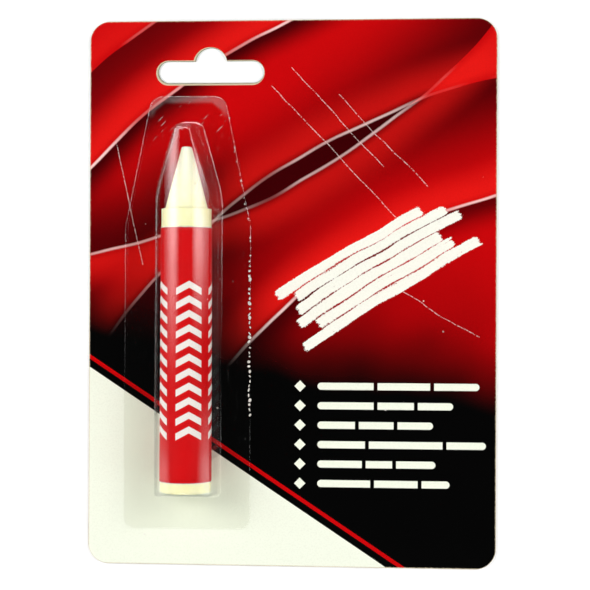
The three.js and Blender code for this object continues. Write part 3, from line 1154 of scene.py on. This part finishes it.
wrapper = {
    "bareButt": 3.1,
    "length": 73.5,
    "thickness": 0.12,
    "gap": 0.05,
    "lap": 5.0,
    "lapRamp": 2.0,
    "lapGlue": 0.05,
    "aroundSteps": 150,
    "alongSteps": 60,
    "crease": 0.03,
    "specular": 0.08,
    "red": (0.64, 0.001, 0.003),
    "deepRed": (0.55, 0.001, 0.002),
    "white": (0.86, 0.85, 0.82),
    "rowPitch": 10.6,  # rows of arrows round the stick
    "rowShift": -1.95,  # the first row sits a little right of the top
    "rowHalf": 3.8,
    "arrowPitch": 4.15,
    "arrowWidth": 2.0,
    "arrowsFrom": 15.5,
    "arrowCount": 11,
    "flecks": (4.2, 0.5, 0.16),  # size of a cell, largest radius, share of the cells
}


def waxRadiusAt(along):
    shoulder = wax["length"] - wax["coneLength"]
    return between(wax["buttRadius"], wax["shoulderRadius"], along / shoulder)


# the paper is one strip, rolled once round and glued on itself under the stick
def makeWrapperMesh():
    inner = waxRadiusAt(wrapper["bareButt"]) + wrapper["gap"]
    lapAngle = wrapper["lap"] / inner
    rampAngle = wrapper["lapRamp"] / inner
    total = 2 * math.pi + lapAngle
    places, marks = [], []
    for along in shares(wrapper["alongSteps"]):
        butt = wrapper["bareButt"] + wrapper["length"] * along
        radius = waxRadiusAt(butt) + wrapper["gap"] + wrapper["thickness"]
        for around in shares(wrapper["aroundSteps"]):
            angle = total * around
            raised = clamp((angle - 2 * math.pi + rampAngle) / rampAngle)
            raised = raised * raised * (3 - 2 * raised)
            reach = radius + raised * (wrapper["thickness"] + wrapper["lapGlue"])
            way = angle - lapAngle / 2 - math.pi / 2
            out = Vector((math.cos(way), 0, math.sin(way)))
            spot = out * reach + Vector((0, butt, 0))
            crease = 0.5 + 0.5 * noise.noise(Vector((spot.x * 0.25, spot.y * 0.11, spot.z * 0.25)))
            spot -= out * (wrapper["crease"] * crease * (1 - raised))
            places.append((spot + Vector((axisX, buttY, axisZ))) * mm)
            marks.append((around, along))
    mesh = bpy.data.meshes.new("paperWrapper")
    strips = stripFaces(wrapper["alongSteps"] + 1, wrapper["aroundSteps"] + 1, closed=False)
    faces = [tuple(reversed(face)) for face in strips]
    mesh.from_pydata(places, [], faces)
    layer = mesh.uv_layers.new(name="unrolled")
    for loop in mesh.loops:
        layer.data[loop.index].uv = marks[loop.vertex_index]
    mesh.shade_smooth()
    return mesh


def wrapperPrint():
    material, desk = newFinish("wrapperPrint")
    ease, mix = desk.ease, desk.mix
    unrolled = desk.node("ShaderNodeUVMap", {"uv_map": "unrolled"})
    u, v = desk.split(unrolled)[:2]
    strip = 2 * math.pi * waxRadiusAt(wrapper["bareButt"]) + wrapper["lap"]
    across = (u - 0.5) * strip  # 0 on top of the stick
    along = v * wrapper["length"]
    flat = desk.join(across, along)
    fine = desk.cloud(flat, 0.4, 4.0, 0.6)
    cloudy = desk.cloud(flat, 8.0, 3.0)
    tint = mix(ease(cloudy, 0.25, 0.8) * 0.6, wrapper["red"], wrapper["deepRed"])

    # rows of plain arrows that point to the tip
    pitch = wrapper["rowPitch"]
    level = abs((across - wrapper["rowShift"] + pitch / 2) % pitch - pitch / 2)
    half = wrapper["rowHalf"]
    inRow = ease(level, half + 0.06, half - 0.06)
    run = along + wrapper["bareButt"] - wrapper["arrowsFrom"] + (level - half) * 0.55
    beat = run % wrapper["arrowPitch"]
    width = wrapper["arrowWidth"]
    arrow = ease(abs(beat - width / 2), width / 2 + 0.06, width / 2 - 0.06)
    inLength = (run > 0) * (run < wrapper["arrowPitch"] * wrapper["arrowCount"])
    marks = inRow * arrow * inLength
    tint = mix(marks * (0.9 + fine * 0.1), tint, wrapper["white"])

    # white fibres at the cut ends and in a few rubbed spots
    ends = desk.math("MINIMUM", along, wrapper["length"] - along)
    worn = ease(ends + (fine - 0.5) * 0.5, 0.3, 0.08)
    flecks = desk.specks(flat, *wrapper["flecks"])
    tint = mix(desk.math("MAXIMUM", worn, flecks * 0.8), tint, wrapper["white"])
    tint = mix(ease(fine, 0.5, 0.75) * 0.03, tint, (0.9, 0.4, 0.35))
    rough = 0.4 + (cloudy - 0.5) * 0.15 + fine * 0.12 + worn * 0.3
    normal = desk.bump(fine * 0.5 + cloudy * 0.5, 0.02, 0.5)
    useSolid(desk, tint, rough, normal, {"Specular IOR Level": wrapper["specular"]})
    return material


def rawPaper():
    material, desk = newFinish("rawPaper")
    fibres = desk.cloud(desk.place(), 0.3, 5.0, 0.65)
    tint = desk.mix(desk.ease(fibres, 0.3, 0.7), (0.78, 0.76, 0.7), (0.88, 0.87, 0.83))
    useSolid(desk, tint, 0.8, desk.bump(fibres, 0.02, 0.5), {})
    return material


papers = [wrapperPrint(), rawPaper()]
sleeve = addPiece("paperWrapper", makeWrapperMesh(), papers, "crayon", "paper_wrapper")
thicken(sleeve, "paperThickness", wrapper["thickness"]).material_offset_rim = 1
